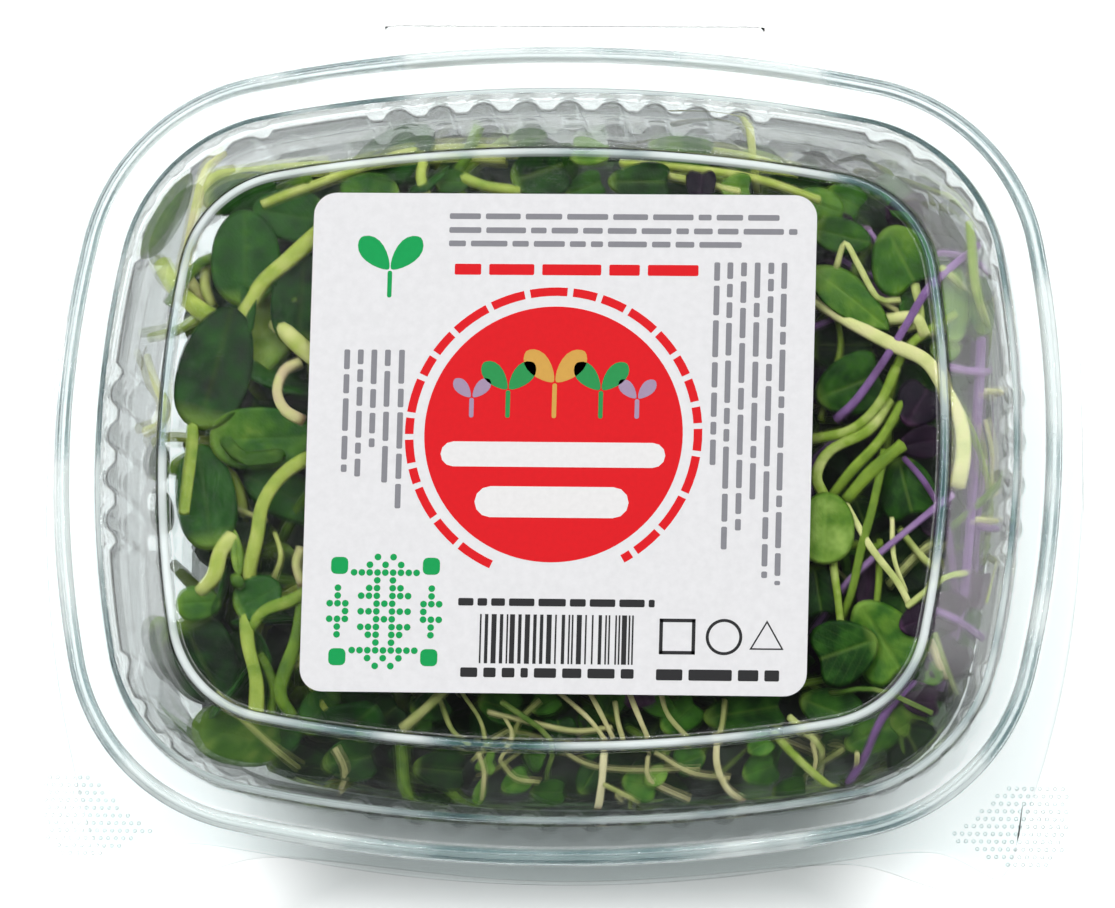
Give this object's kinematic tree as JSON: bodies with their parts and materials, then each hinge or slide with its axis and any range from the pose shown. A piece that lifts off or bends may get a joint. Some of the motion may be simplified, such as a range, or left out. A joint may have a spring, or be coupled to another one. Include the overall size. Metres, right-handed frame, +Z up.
{
  "type": "hinged clear punnet of mixed microgreens",
  "caption": "Shut clear hinged punnet: ribbed tray, low oval lid with finger ears and a square label, packed with mixed microgreens.",
  "frame": {"origin": "middle of the whole pack's outline, at the bottom face of the tray", "axes": "+Z up out of the tray, +Y towards the hinge at the back, -Y towards the finger ears at the front, +X to the right seen from the front"},
  "size_m": [0.209, 0.173, 0.0484],
  "materials": {
    "clear_pet": "clear thermoformed sheet, glossy",
    "label_paper": "coated paper, satin",
    "greens": "fresh leaf, satin"
  },
  "bodies": {
    "tray": {"tray": "clear_pet", "greens": "greens", "hinge_fold": "clear_pet"},
    "lid": {"lid": "clear_pet", "label": "label_paper"}
  },
  "joints": [
    {"name": "lid_hinge", "type": "hinge", "parent": "tray", "child": "lid", "pos_m": [0, 0.0857, 0.0402], "axis": [-1, 0, 0], "range_deg": [0, 180]}
  ]
}
